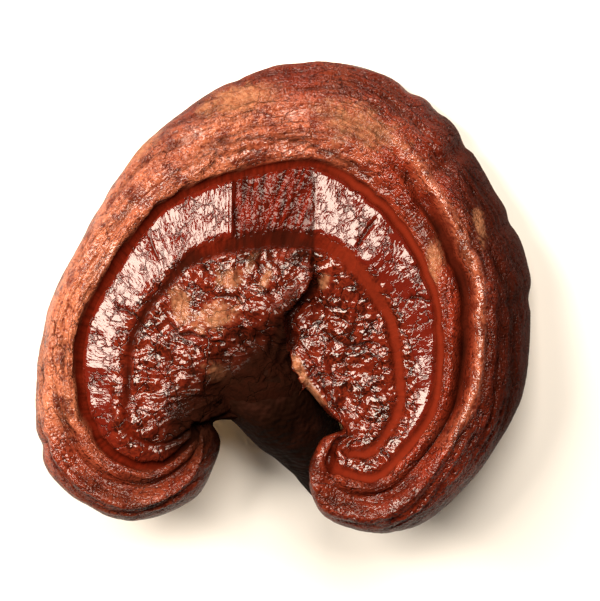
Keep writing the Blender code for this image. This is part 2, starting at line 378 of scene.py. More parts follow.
# Share of the growth line at every row of the top: even steps to the crest, then round the roll
inside_steps = np.linspace(FIRST_ROW, 1.0, ROWS_INSIDE)[None, :]
reach_in = leg + crest * width
travel = inside_steps * reach_in
roll_steps = np.linspace(0.0, 0.5 * math.pi, ROWS_ROLL + 1)[1:][None, :]
share_inside = (travel - leg) / width
share_roll = crest + (1.0 - crest) * np.sin(roll_steps)
share = np.hstack((share_inside, share_roll))
roll_drop = np.repeat(1.0 - np.cos(roll_steps), COLUMNS, axis=0)
roll_drop = np.hstack((np.zeros_like(share_inside), roll_drop))

# Rows inside the root of a growth line, where the share is below 0, run straight on to the heart
on_leg = share < 0.0
leg_share = np.clip(1.0 + share * width / leg, 0.0, 1.0)
x, y = (
    np.where(
        on_leg,
        mix(HEART[k], root[:, k : k + 1], leg_share),
        mix(root[:, k : k + 1], margin[:, k : k + 1], share),
    )
    for k in (0, 1)
)

# Distances that the rings and wrinkles are drawn in: along the rings, and outwards across them. The
# rings wander by up to a millimetre, as grown ones do
ring_points = mix(root, margin, outer_groove)
ring_run = np.linalg.norm(np.roll(ring_points, -1, axis=0) - ring_points, axis=1)
along = (np.cumsum(ring_run) - ring_run)[:, None]
wander = noise_of(along / 26.0, share * 3.0, 4.0)
from_margin = (1.0 - share) * width
from_outer = (share - outer_groove) * width + 0.5 * wander
from_inner = (share - inner_groove) * width + 0.9 * wander
from_ridge = (share - ridge) * width + 0.6 * wander

# Left of the crease the cap swells into the mound that runs down into the stem, and right of it
# lies the basin. A trench follows the steepest part of the crease, on its right
lobes = smooth(-30.0, -48.0, y)
crease_x = np.interp(y, CREASE_YS, CREASE_XS)
lip = np.interp(y, CREASE_YS, CREASE_LIPS)
past_crease = x - crease_x + 0.5 * noise_of(y / 5.0, 1.0)
right_side = smooth(-0.5 * CREASE_WIDTH, 0.5 * CREASE_WIDTH, past_crease)
falling = smooth(-4.0, -27.0, y) * smooth(-28.0, -4.0, x)
mounded = hump(np.hypot(x - MOUND_PLACE[0], y - MOUND_PLACE[1]), MOUND_REACH)
left_level = mix(LEFT_LEVEL + MOUND_LEVEL * mounded, ROOT_LEVEL, falling)
left_level += lip * smooth(LIP_REACH, 0.0, crease_x - x)
basin_level = BASIN_LEVEL + BASIN_WAVE * noise_of(x / 11.0, y / 11.0, 2.0)
trench = hump(x - crease_x - 1.6, 1.8) * smooth(9.0, 2.0, y) * smooth(-20.0, -12.0, y)
inner_level = mix(left_level, basin_level, right_side) - TRENCH_DEPTH * trench

# From there the top runs level by level: inner channel, band, outer channel, crest, and down the roll
rings_at = np.array(RINGS)
inner_groove_level, outer_groove_level, crest_level, half_groove, band_start = (
    np.interp(PLACES, rings_at[:, 0], rings_at[:, k])[:, None] for k in (1, 2, 3, 4, 5)
)
height = mix(inner_level, inner_groove_level, smooth(0.0, 1.0, share / inner_groove))
across_band = np.clip((share - inner_groove) / (outer_groove - inner_groove), 0.0, 1.0)
band_level = mix(inner_groove_level, outer_groove_level, across_band)
height = np.where(share > inner_groove, band_level, height)
height += BAND_BULGE * 4.0 * across_band * (1.0 - across_band)
height = mix(height, crest_level, smooth(0.0, 1.0, (share - outer_groove) / (crest - outer_groove)))
narrow = (1.0 - relief) * smooth(-0.3, 0.2, share)
height = mix(height, root_level, narrow)
height -= (droop + crest_level) * roll_drop

# Left of the crease it swells over the upper side of the stem, which comes out of it bit by bit
stem_height = stem_top(x, y) - FAR_DOWN * right_side - mix(-0.3, 0.9, smooth(-26.0, -36.0, y))
height = soft_max(height, stem_height, ROOT_BLEND)
top = np.stack((x, y, height), axis=2)

# Under the margin the crust turns in, and the underside runs back to the heart
turn = np.minimum(MARGIN_TURN, 0.5 * width)
turn_steps = np.linspace(0.0, 0.5 * math.pi, ROWS_TURN + 1)[1:][None, :]
tuck = MARGIN_TUCK * relief * (1.0 - np.cos(turn_steps))
turn_xy = margin[:, None, :] - outward[:, None, :] * tuck[:, :, None]
turn_z = top[:, -1:, 2] - turn * np.sin(turn_steps)
under_steps = np.linspace(0.0, 1.0, ROWS_UNDER + 1)[1:][None, :]
to_root = np.clip(under_steps * 2.0, 0.0, 1.0)
to_heart = np.clip(under_steps * 2.0 - 1.0, 0.0, LAST_ROW)
under_xy = mix(turn_xy[:, -1:, :], root[:, None, :], to_root[:, :, None])
under_xy = mix(under_xy, HEART[None, None, :], to_heart[:, :, None])
under_z = turn_z[:, -1:] + PORE_RISE * relief * smooth(0.0, 0.6, to_root)
under_z = mix(under_z, BASIN_LEVEL - HEART_THICKNESS, smooth(0.0, 1.0, to_heart))
turned = np.concatenate((turn_xy, turn_z[:, :, None]), axis=2)
underside = np.concatenate((under_xy, np.broadcast_to(under_z, under_xy.shape[:2])[:, :, None]), axis=2)

# Where each kind of crust lies, from 0 to 1: the inner channel, the band, the inner crust, the rim,
# the panel in the band, and the root of the stem, which has no wrinkles of the cap's
right_hand = smooth(20.0, 45.0, x)
ragged = 0.8 * noise_of(x / 3.0, y / 3.0, 12.0)
in_groove = smooth(half_groove + 0.5, half_groove - 0.4, np.abs(from_inner) + 0.6 * ragged)
inside_rim = smooth(-1.0, -1.5, from_outer)
band = smooth(-0.4, 0.6, from_inner - band_start + ragged) * inside_rim
band *= 1.0 - 0.85 * smooth(-36.0, -48.0, y)
inner = inside_rim * (1.0 - band) * (1.0 - in_groove)
rim = smooth(0.9, 1.5, from_outer)
panel = smooth(PANEL_LEFT, PANEL_LEFT + 0.8, x) * smooth(PANEL_RIGHT, PANEL_RIGHT - 1.0, x)
panel *= smooth(0.0, 18.0, y)
buried = smooth(-6.0, 0.5, stem_height - height) * smooth(-22.0, -30.0, y)

# Relief of the rings, with the soft waves of the whole cap over it. The outer ridge and its gully are strong on the right and on the lobes
ridged = np.clip(0.12 + right_hand * smooth(52.0, 25.0, y) + 0.8 * lobes, 0.0, 1.0)
gully = ridged * (1.0 - 0.7 * lobes) * smooth(3.6, 0.6, np.abs(from_ridge + 4.5))
gully *= smooth(40.0, 20.0, y)
inner_channel = smooth(half_groove + 0.9, half_groove - 0.3, np.abs(from_inner) + 0.5 * ragged)
ripples = -CHANNEL_DEPTH * smooth(1.7, 0.8, np.abs(from_outer))
ripples += CHANNEL_LIP * hump(from_outer - 3.2, 1.5)
ripples -= RIM_LINE_DEPTH * hump(from_outer - 6.0 - wander, 0.8) * smooth(-40.0, 0.0, y)
ripples -= INNER_CHANNEL_DEPTH * inner_channel
ripples += ridged * RIDGE_HEIGHT * hump(from_ridge, 1.7)
ripples -= ridged * GULLY_DEPTH * hump(from_ridge + GULLY_INSIDE, 2.7)
ripples += ridged * LOW_RIDGE_HEIGHT * hump(from_ridge - 4.0 + wander, 1.3)
valley_x, valley_y = x - VALLEY_PLACE[0], y - VALLEY_PLACE[1]
beside_valley = valley_x * VALLEY_WAY[1] - valley_y * VALLEY_WAY[0] + 1.5 * noise_of(y / 6.0, 3.0)
along_valley = valley_x * VALLEY_WAY[0] + valley_y * VALLEY_WAY[1]
ripples -= VALLEY_DEPTH * hump(along_valley, 9.0) * hump(beside_valley, 2.6)
near_rings = noise_of(along / 16.0, from_outer / 1.5, 15.0)
ripples += 0.5 * hump(from_outer - 7.0, 5.0) * near_rings * smooth(-45.0, -20.0, y)
rings = noise_of(along / 30.0, from_margin / 2.2, 9.0)
rings += 0.6 * noise_of(along / 18.0, from_margin / 1.2, 2.0)
ripples += RING_HEIGHT * rim * rings * (1.0 - 0.6 * smooth(0.84, 0.98, share))
ripples += 0.9 * noise_of(x / 19.0, y / 19.0, 7.0) * (1.0 - 0.6 * band)
ripples += 0.4 * noise_of(x / 8.0, y / 8.0, 1.0)
ripples -= panel * band * PANEL_DEPTH
ripples += PANEL_LIP * hump(x - PANEL_LEFT, 0.7) * band * smooth(0.0, 18.0, y)


def crumple(px, py, size, seed):
    """Sharp irregular folds about so many mm apart, from 0 in the valleys to 1 on the folds."""
    shift_x = 0.45 * noise_of(px / size * 0.9, py / size * 0.9, seed + 5.0)
    shift_y = 0.45 * noise_of(px / size * 0.9, py / size * 0.9, seed + 9.0)
    return 1.0 - 1.7 * np.abs(noise_of(px / size + shift_x, py / size + shift_y, seed))


# Folds of the crust. On the inner crust they're like crumpled foil, with long ones towards the root of
# the stem left of the crease. The band has faint ones, with a calm sheet at its upper right
folds = crumple(x, y, FOLD_SPACING, 1.3)
small_folds = crumple(x, y, SMALL_FOLD_SPACING, 6.1)
cross_folds = crumple(along, from_outer / 5.0, CROSS_FOLD_SPACING, 3.0)
distance_out = np.hypot(x - ROOT_PLACE[0], y - ROOT_PLACE[1])
round_root = np.arctan2(y - ROOT_PLACE[1], x - ROOT_PLACE[0]) * ROOT_RADIUS
long_folds = crumple(round_root, distance_out / 3.2, LONG_FOLD_SPACING, 17.0)
long_folds *= smooth(6.0, 16.0, distance_out)
wrinkles = inner * (FOLD_HEIGHT * folds + SMALL_FOLD_HEIGHT * small_folds - FOLD_SINK)
wrinkles += inner * (1.0 - right_side) * (LONG_FOLD_HEIGHT * long_folds - FOLD_SINK)
from_sheet = np.hypot(x - CALM_SHEET_PLACE[0], y - CALM_SHEET_PLACE[1])
calm_sheet = CALM_SHEET_SHARE * hump(from_sheet, CALM_SHEET_REACH)
faint_folds = 0.08 * cross_folds + 0.07 * small_folds + 0.16 * folds
wrinkles += band * (1.0 - panel) * (1.0 - calm_sheet) * faint_folds
wrinkles += band * panel * (0.3 * small_folds + 0.3 * folds)

# The rim is streaked along the rings and cut by thin lines, which die out towards the margin
long_streaks = crumple(along / 3.0, from_margin, STREAK_SPACING, 8.0)
long_streaks *= 1.0 - 0.7 * smooth(0.92, 1.0, share)
ring_lines = hump(noise_of(along / 24.0, from_outer / 2.0, 21.0), 0.16)
ring_lines *= smooth(-0.25, 0.15, noise_of(along / 14.0, from_outer / 4.0, 23.0))
ring_lines *= rim * (1.0 - 0.8 * smooth(0.92, 1.0, share)) * relief
wrinkles -= THIN_LINE_DEPTH * ring_lines
calm_margin = 1.0 - 0.75 * smooth(0.84, 0.98, share)
streaked_folds = (0.26 + 0.32 * right_hand) * long_streaks + 0.38 * small_folds + 0.20 * folds
wrinkles += rim * (1.0 - gully) * calm_margin * streaked_folds

# Drying cracks: each is deepest on its trail, and dies out away from the nearest stretch of it
waver_x, waver_y = x / CRACK_WAVER_LENGTH, y / CRACK_WAVER_LENGTH
crack_x = x + CRACK_WAVER * noise_of(waver_x, waver_y, 31.0)
crack_y = y + CRACK_WAVER * noise_of(waver_x, waver_y, 37.0)
cracked = np.zeros_like(x)
for half_width, depth, trail in CRACKS:
    away = np.full(x.shape, np.inf)
    for (ax, ay), (bx, by) in zip(trail[:-1], trail[1:]):
        t = (crack_x - ax) * (bx - ax) + (crack_y - ay) * (by - ay)
        t = np.clip(t / ((bx - ax) ** 2 + (by - ay) ** 2), 0.0, 1.0)
        away = np.minimum(away, np.hypot(crack_x - mix(ax, bx, t), crack_y - mix(ay, by, t)))
    cracked = np.maximum(cracked, depth * hump(away, half_width))
wrinkles -= cracked
top += normals_of(top) * ((ripples * relief + wrinkles) * (1.0 - buried))[:, :, None]

points = np.concatenate((top, turned, underside), axis=1)
TOP_ROWS = top.shape[1]
ROWS = points.shape[1]


def leaned(places):
    """Places in the cap's own frame, turned into the rest pose."""
    cos, sin = math.cos(CAP_LEAN), math.sin(CAP_LEAN)
    px, py, pz = np.moveaxis(np.asarray(places, dtype=float), -1, 0)
    return np.stack((px, py * cos - pz * sin, py * sin + pz * cos), axis=-1)


def grid_mesh(name, grid):
    """A closed mesh over a grid of points that joins round its columns, with a fan over each end."""
    columns, rows, _ = grid.shape
    here = np.arange(columns)[:, None] * rows + np.arange(rows - 1)[None, :]
    there = np.roll(here, -1, axis=0)
    quads = np.stack((here, there, there + 1, here + 1), axis=-1).reshape(-1, 4)
    first, last = columns * rows, columns * rows + 1
    ends = np.array((grid[:, 0].mean(axis=0), grid[:, -1].mean(axis=0)))
    start = np.arange(columns) * rows
    after = np.roll(start, -1)
    fan_first = np.stack((np.full(columns, first), after, start), axis=-1)
    fan_last = np.stack((np.full(columns, last), start + rows - 1, after + rows - 1), axis=-1)
    mesh = bpy.data.meshes.new(name)
    corners = np.vstack((grid.reshape(-1, 3), ends))
    mesh.from_pydata(corners.tolist(), [], quads.tolist() + fan_first.tolist() + fan_last.tolist())
    return mesh


def attribute(mesh, name, grid, first, last):
    """A value for each corner of a grid mesh, with those of its two end points."""
    layer = mesh.attributes.new(name, "FLOAT", "POINT")
    layer.data.foreach_set("value", np.append(grid.reshape(-1), (first, last)).astype(np.float32))


def whole(top_values, value_below):
    """Values of the top rows, with one value for all of the turned edge and the underside."""
    below = np.full((COLUMNS, ROWS - TOP_ROWS), value_below)
    return np.hstack((top_values, below))


# The cap lies where its CAD node does: over the same middle, and down to the same lowest point
rest_points = leaned(points)
cap_low, cap_high = (np.array(corner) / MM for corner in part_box("cap"))
low, high = rest_points.min(axis=(0, 1)), rest_points.max(axis=(0, 1))
REST_SHIFT = 0.5 * (cap_low + cap_high - low - high)
REST_SHIFT[2] = cap_low[2] - low[2]
cap_mesh = grid_mesh("cap_crust", (rest_points + REST_SHIFT) * MM)
cap = bpy.data.objects.new("cap_crust", cap_mesh)
bpy.context.scene.collection.objects.link(cap)
cap_mesh.shade_smooth()

# Dust and polish lie in soft patches, and the polished ones are broken up. Polish is also on the rim
# just outside the channel, and on the outer ridge
dust, polish = np.zeros_like(x), np.zeros_like(x)
for patches, share_of_patches in ((DUST_PATCHES, dust), (POLISHED_PATCHES, polish)):
    for px, py, half_length, half_width, turned_by in patches:
        cos, sin = math.cos(math.radians(turned_by)), math.sin(math.radians(turned_by))
        u, v = (x - px) * cos + (y - py) * sin, (y - py) * cos - (x - px) * sin
        patch = hump(np.hypot(u / half_length, v / half_width), PATCH_SPREAD)
        np.maximum(share_of_patches, patch, out=share_of_patches)
polish *= smooth(-0.6, 0.3, noise_of(x / 3.5, y / 3.5, 27.0))
beside_groove = hump(from_outer - 5.0, 4.0) * smooth(-5.0, 15.0, y)
beside_groove *= smooth(-0.35, 0.35, noise_of(along / 10.0, from_outer / 5.0, 29.0))
on_ridge = right_hand * hump(from_ridge, 1.5) * (1.0 - lobes)
polish = np.maximum(polish, np.maximum(0.9 * beside_groove, 0.9 * on_ridge))
past_edge = x - np.interp(y, FREE_EDGE_YS, FREE_EDGE_XS)
torn = smooth(-0.5, 0.5, past_edge) * smooth(4.8, 2.0, past_edge)
torn *= smooth(-15.0, -19.0, y) * smooth(-36.0, -30.0, y)

# Painted shade: the crust is painted near black where it runs down into the stem, partly the root's own
# dark colour and partly the shade under the cap, and at the left corner of the notch, where shade falls
toward_stem = 0.64 * (x + 15.0) - 0.77 * (y + 20.0) + 3.0 * noise_of(x / 4.0, y / 4.0)
dark_crust_and_painted_shade = smooth(-13.0, 3.0, toward_stem) * smooth(-46.0, -30.0, x)
dark_crust_and_painted_shade *= (1.0 - right_side) * smooth(-62.0, -40.0, y)

# More painted shade: a painted shadow beside the crease and a painted shaded line along it, painted
# shade in the upper inner channel, and in patches low on the panel and under it. The cracks and thin
# lines are darkened too, as their own dark colour
crease_shadow = smooth(-0.3, 0.6, x - crease_x) * smooth(3.4, 1.2, x - crease_x)
crease_shadow *= smooth(7.0, 2.0, y) * smooth(-19.0, -13.0, y)
crease_shade_line = hump(x - crease_x - 0.2, 0.55) * smooth(40.0, 34.0, y) * smooth(-12.0, -8.0, y)
# Painted shade in the upper left of the inner channel
shaded_groove = in_groove * smooth(9.0, 7.0, x) * smooth(-36.0, -25.0, y)
shaded_groove *= smooth(-0.9, 0.2, noise_of(x / 6.0, y / 6.0, 2.5))
# Painted shade in patches low on the panel and on the mound under it
low_panel_shade = panel * smooth(5.5, 2.5, from_inner) * smooth(-4.0, -2.4, from_inner)
low_panel_shade *= smooth(-0.9, 0.4, noise_of(x / 1.6, y / 5.0, 4.5))
under_panel_shade = smooth(-15.0, -12.0, x) * smooth(6.0, 10.0, y) * smooth(-0.5, -1.5, x - crease_x)
under_panel_shade *= inner * smooth(-0.4, 0.3, noise_of(x / 2.2, y / 5.0, 41.0))
for dark_place, strength in (
    (hump(np.hypot((x + 30.0) / 6.0, (y + 36.0) / 2.2), 1.0), 1.0),
    (crease_shadow, 0.9),
    (crease_shade_line, 0.85),
    (shaded_groove, 0.74),
    (smooth(0.2, 0.6, cracked), 0.75),
    (low_panel_shade, 0.72),
    (ring_lines, 0.55),
    (under_panel_shade, 0.7),
):
    dark_crust_and_painted_shade = np.maximum(dark_crust_and_painted_shade, strength * dark_place)

# The rim is tan orange on the left and along the ridge, and red on the right, on the lobes and far out.
# This is partly its own tone and partly painted light and shade: lighter where the light falls on the
# left, darker where shade falls on the right, on the lobes and at the far margin
warmth_and_painted_light = smooth(48.0, -28.0, x) * (1.0 - 0.8 * smooth(-30.0, -50.0, y))
warmth_and_painted_light *= 1.0 - 0.75 * smooth(0.78, 0.95, share) * smooth(40.0, 58.0, y)
warmth_and_painted_light *= 1.0 - 0.35 * smooth(0.0, 30.0, y) * smooth(-15.0, -40.0, x)
warmth_and_painted_light *= 1.0 - 0.3 * smooth(30.0, 40.0, y) * hump(x + 2.0, 26.0)
warmth_and_painted_light += 0.7 * right_hand * hump(from_ridge, 1.9) * (1.0 - lobes)
warmth_and_painted_light = np.clip(warmth_and_painted_light + 0.25 * noise_of(x / 12.0, y / 12.0, 8.0), 0.0, 1.0)

# Painted shade: the rim is painted dark, and made dull, on the right flank that faces away from the
# light, at the far margin, under the lobes and just at the edge
flank_line = x + 0.15 * y + 4.0 * noise_of(x / 14.0, y / 14.0, 5.0)
far_line = y + 0.15 * x + 5.0 * noise_of(x / 9.0, y / 9.0, 3.3)
flank_shade = smooth(40.0, 62.0, flank_line) * smooth(0.99, 1.12, share / ridge)
for dark_place, strength in (
    (smooth(0.78, 0.97, share) * smooth(30.0, 56.0, far_line), 0.55),
    (smooth(-48.0, -60.0, y), 0.38),
    (smooth(0.965, 1.0, share), 0.55),
):
    flank_shade = np.maximum(flank_shade, strength * dark_place)

# What the material reads: where each finish lies on the top, and its value under the margin
for name, values, value_below in (
    ("rim", rim * relief, 0.0),
    ("groove", np.maximum(smooth(1.5, 0.9, np.abs(from_outer)), 0.9 * in_groove) * relief, 0.0),
    ("band", band * relief, 0.0),
    ("shade", dark_crust_and_painted_shade, 0.0),
    ("warmth_and_painted_light", warmth_and_painted_light, 0.4),
    ("gully", gully, 0.0),
    ("right", smooth(6.0, 24.0, x), 0.0),
    ("flank_shade", flank_shade, 0.5),
    ("panel", panel * smooth(-4.0, -2.4, from_inner) * smooth(-0.8, -1.6, from_outer), 0.0),
    ("dust", np.maximum(dust, torn), 0.0),
    ("polish", polish * rim, 0.0),
):
    attribute(cap_mesh, name, whole(values, value_below), 0.0, 0.0)
pores = whole(np.zeros_like(x), 1.0)
pores[:, TOP_ROWS : TOP_ROWS + ROWS_TURN] = np.linspace(0.0, 1.0, ROWS_TURN)[None, :]
attribute(cap_mesh, "pores", pores, 0.0, 1.0)

# Millimetres along the rings and out across them, which the streaks and the crackle follow
growth_top = np.stack((np.broadcast_to(along, x.shape), from_outer, np.zeros_like(x)), axis=2)
growth_rest = np.repeat(growth_top[:, -1:], ROWS - TOP_ROWS, axis=1)
growth_all = np.concatenate((growth_top, growth_rest), axis=1).reshape(-1, 3)
growth_all = np.vstack((growth_all, growth_all[:2]))
growth = cap_mesh.attributes.new("growth", "FLOAT_VECTOR", "POINT")
growth.data.foreach_set("vector", growth_all.astype(np.float32).reshape(-1))
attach(cap, "root")
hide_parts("cap")


def linear(hex_colour):
    """A given colour, as the shader wants it."""
    channels = (int(hex_colour[k : k + 2], 16) / 255.0 for k in (1, 3, 5))
    return (*(c / 12.92 if c <= 0.04045 else ((c + 0.055) / 1.055) ** 2.4 for c in channels), 1.0)


def add(material, kind, settings, *inputs, out=0):
    """Adds a node with its settings, and sets or links its inputs in pairs of socket and value."""
    tree = material.node_tree
    made = tree.nodes.new("ShaderNode" + kind)
    for name, value in settings.items():
        setattr(made, name, value)
    for socket, value in zip(inputs[::2], inputs[1::2]):
        if isinstance(value, bpy.types.NodeSocket):
            tree.links.new(value, made.inputs[socket])
        else:
            made.inputs[socket].default_value = value
    return made.outputs[out]


TIMES, LARGER = {"operation": "MULTIPLY"}, {"operation": "MAXIMUM"}
TIMES_PLUS = {"operation": "MULTIPLY_ADD"}
SOFT_STEP = {"interpolation_type": "SMOOTHSTEP"}
COLOURS, NUMBERS = {"data_type": "RGBA"}, {"data_type": "FLOAT"}

# How high one unit of the fine relief stands, in metres, and how fast a crease of it falls away
FINE_RELIEF = 0.00022
CREASE_FALL = -4.0

# Lacquered crust: a skin of hardened resin over corky flesh. Deep wine red and mirror glossy on the
# band, crinkled like foil inside it, and satin orange brown under a thinner lacquer on the rim
crust = bpy.data.materials.new("reishi_lacquered_crust")
crust.use_nodes = True
place = add(crust, "TexCoord", {}, out="Object")
millimetres = add(crust, "VectorMath", {"operation": "SCALE"}, 0, place, "Scale", 1.0 / MM)
growth_place = add(crust, "Attribute", {"attribute_name": "growth"}, out="Vector")
rim_share, band_share, groove_share, gully_share, panel_share, flank_shade_share = (
    add(crust, "Attribute", {"attribute_name": name}, out="Fac")
    for name in ("rim", "band", "groove", "gully", "panel", "flank_shade")
)
shade_share, pore_share, warmth_and_painted_light_share, right_share, dust_share, polish_share = (
    add(crust, "Attribute", {"attribute_name": name}, out="Fac")
    for name in ("shade", "pores", "warmth_and_painted_light", "right", "dust", "polish")
)
channel_share = add(crust, "Math", LARGER, 0, groove_share, 1, gully_share)

# The growth coordinates stretched, so that one unit is a streak's length along the rings and its
# width across them, both in millimetres
fibre_place, cross_place, panel_place, groove_place, gap_place, slit_place = (
    add(crust, "Mapping", {}, "Vector", growth_place, "Scale", (1.0 / length, 1.0 / breadth, 1.0))
    for length, breadth in ((6.0, 1.1), (1.2, 2.6), (1.6, 9.0), (1.4, 7.0), (7.0, 5.0), (2.2, 1.0))
)

# Smooth noise for the soft changes of tone: where it is read, its grain in millimetres, its detail,
# roughness and distortion
(
    blotch_noise, fleck_noise, gap_noise, dust_noise,
    dust_grain, panel_noise, groove_noise, band_gap_noise,
) = (
    add(crust, "TexNoise", {}, "Vector", where, "Scale", 1.0 / grain, "Detail", detail,
        "Roughness", rough, "Distortion", distortion)
    for where, grain, detail, rough, distortion in (
        (millimetres, 5.0, 3.0, 0.55, 0.0),
        (millimetres, 6.0, 5.0, 0.7, 0.0),
        (millimetres, 16.0, 2.0, 0.55, 0.0),
        (millimetres, 4.5, 6.0, 0.7, 0.8),
        (millimetres, 1.3, 2.0, 0.55, 0.0),
        (panel_place, 1.0, 3.0, 0.5, 0.0),
        (groove_place, 1.0, 3.0, 0.5, 0.0),
        (gap_place, 1.0, 3.0, 0.5, 0.0),
    )
)

# Sharp creases out of smooth noise: 1 along its middle values, falling away to both sides
creases = []
for where, grain, detail, distortion in (
    (millimetres, 3.1, 1.0, 0.7),
    (millimetres, 1.5, 0.5, 0.5),
    (millimetres, 1.1, 0.5, 0.3),
    (fibre_place, 1.0, 1.5, 0.0),
    (cross_place, 1.0, 1.5, 0.0),
):
    wave = add(crust, "TexNoise", {}, "Vector", where, "Scale", 1.0 / grain, "Detail", detail,
               "Roughness", 0.5, "Distortion", distortion)
    off_middle = add(crust, "Math", {"operation": "SUBTRACT"}, 0, wave, 1, 0.5)
    off_middle = add(crust, "Math", {"operation": "ABSOLUTE"}, 0, off_middle)
    creases.append(add(crust, "Math", TIMES_PLUS, 0, off_middle, 1, CREASE_FALL, 2, 1.0))
crinkle, crinkle_fine, stipple, fibres, cross = creases

# Thin drying cracks: lines round irregular cells, 1 in the middle of a line. Where they are read,
# the cell's width and the line's half width. Those of the rim and of the band have gaps
cracks = []
for where, cell, line_width in (
    (millimetres, 9.0, 0.34),
    (slit_place, 3.6, 0.16),
    (growth_place, 3.0, 0.40),
):
    warp = add(crust, "TexNoise", {}, "Vector", where, "Scale", 1.6 / cell, "Detail", 3.0, out="Color")
    bent = add(crust, "VectorMath", TIMES_PLUS, 0, warp, 1, (0.9 * cell,) * 3, 2, where)
    to_edge = add(crust, "TexVoronoi", {"feature": "DISTANCE_TO_EDGE"}, "Vector", bent,
                  "Scale", 1.0 / cell)
    cracks.append(add(crust, "MapRange", SOFT_STEP, 0, to_edge, 1, line_width / cell, 2, 0.0))
ring_gap = add(crust, "MapRange", SOFT_STEP, 0, gap_noise, 1, 0.42, 2, 0.56)
band_gap = add(crust, "MapRange", SOFT_STEP, 0, band_gap_noise, 1, 0.42, 2, 0.62)
crust_cracks = add(crust, "Math", TIMES, 0, cracks[0], 1, 0.8)
ring_cracks = add(crust, "Math", TIMES, 0, cracks[1], 1, ring_gap)
crackle = add(crust, "Math", TIMES, 0, cracks[2], 1, band_gap)

# Each pattern sharpened to a share, from the value that gives 0 to the one that gives 1
blotches, flecks, valleys, fine_crest_highlight, fine_valley_shade, dust_flecks, panel_streaks, groove_streaks = (
    add(crust, "MapRange", SOFT_STEP, 0, value, 1, low_end, 2, high_end)
    for value, low_end, high_end in (
        (blotch_noise, 0.34, 0.60),
        (fleck_noise, 0.46, 0.64),
        (crinkle, 0.35, -0.2),
        (crinkle_fine, 0.5, 1.0),
        (crinkle_fine, 0.3, -0.2),
        (dust_grain, 0.3, 0.7),
        (panel_noise, 0.35, 0.65),
        (groove_noise, 0.2, 0.8),
    )
)

# The rim's tones swing with its streaks and stipple, and dust fills its patches unevenly
streaked = add(crust, "Math", TIMES, 0, fibres, 1, 0.4)
streaked = add(crust, "Math", TIMES_PLUS, 0, stipple, 1, 0.6, 2, streaked)
streaked = add(crust, "MapRange", SOFT_STEP, 0, streaked, 1, 0.0, 2, 1.0)
dusty = add(crust, "Math", TIMES_PLUS, 0, dust_noise, 1, 1.9, 2, -0.95)
dusty = add(crust, "Math", {"operation": "ADD"}, 0, dusty, 1, dust_share)
dusty = add(crust, "MapRange", SOFT_STEP, 0, dusty, 1, 0.35, 2, 1.0)

# Two tones of each zone, and what swings between them
red_tone, tan_tone, band_tone, panel_tone, dust_tone, channel_tone = (
    add(crust, "Mix", COLOURS, 0, share_of_over, 6, linear(under), 7, linear(over), out=2)
    for share_of_over, under, over in (
        (streaked, "#380B04", "#742614"),
        (streaked, "#642413", "#A05E42"),
        (crackle, "#521208", "#2A0803"),
        # The panel's tones are darker than the band's, partly its own and partly painted shade of its
        # sunken place
        (panel_streaks, "#240703", "#5A1509"),
        (dust_flecks, "#7C4B32", "#A06E50"),
        (groove_streaks, "#2E0803", "#4E1207"),
    )
)

# Inner crust, then the rim, as one tone laid over the last: the tone, where it lies, how strongly
inner_tone, rim_tone = linear("#250803"), red_tone
for tone, where, strength in (
    (linear("#511509"), blotches, 1.0),
    # Painted shade in the valleys of the crinkles, and a painted highlight on their fine crests
    (linear("#1C0502"), valleys, 0.45),
    (linear("#742814"), fine_crest_highlight, 0.45),
    (linear("#1A0503"), crust_cracks, 1.0),
):
    share_of_tone = add(crust, "Math", TIMES, 0, where, 1, strength)
    inner_tone = add(crust, "Mix", COLOURS, 0, share_of_tone, 6, inner_tone, 7, tone, out=2)
for tone, where, strength in (
    # The tan tone, partly its own and partly painted light on the lit left of the rim
    (tan_tone, warmth_and_painted_light_share, 1.0),
    (linear("#4A1208"), flecks, 0.8),
    # Painted shade in the fine valleys of the rim
    (linear("#48140A"), fine_valley_shade, 0.45),
    (linear("#2A0B06"), ring_cracks, 0.55),
    # Painted shade on the right flank, the far margin, under the lobes and at the edge
    (linear("#280C06"), flank_shade_share, 0.88),
    # Painted shade in the gully inside the outer ridge, near black
    (linear("#2C0B05"), gully_share, 0.92),
):
    share_of_tone = add(crust, "Math", TIMES, 0, where, 1, strength)
    rim_tone = add(crust, "Mix", COLOURS, 0, share_of_tone, 6, rim_tone, 7, tone, out=2)
# Painted light: the channels are mixed to a lighter red on the right, where they face the light
right_channel_light = add(crust, "Math", TIMES, 0, right_share, 1, 0.6)
channel_tone = add(crust, "Mix", COLOURS, 0, right_channel_light, 6, channel_tone, 7, linear("#6A2212"), out=2)

# Then the zones over one another: rim, band, panel, dust, channels, the near black of the stem's root
# with the painted shade, pores
colour = inner_tone
for tone, where, strength in (
    (rim_tone, rim_share, 1.0),
    (band_tone, band_share, 0.85),
    (panel_tone, panel_share, 0.9),
    (dust_tone, dusty, 0.66),
    (channel_tone, groove_share, 0.92),
    # Near black: the stem's root and the dark lines in their own colour, and painted shade
    (linear("#170905"), shade_share, 0.97),
    (linear("#C9A878"), pore_share, 1.0),
):
    share_of_tone = add(crust, "Math", TIMES, 0, where, 1, strength)
    colour = add(crust, "Mix", COLOURS, 0, share_of_tone, 6, colour, 7, tone, out=2)

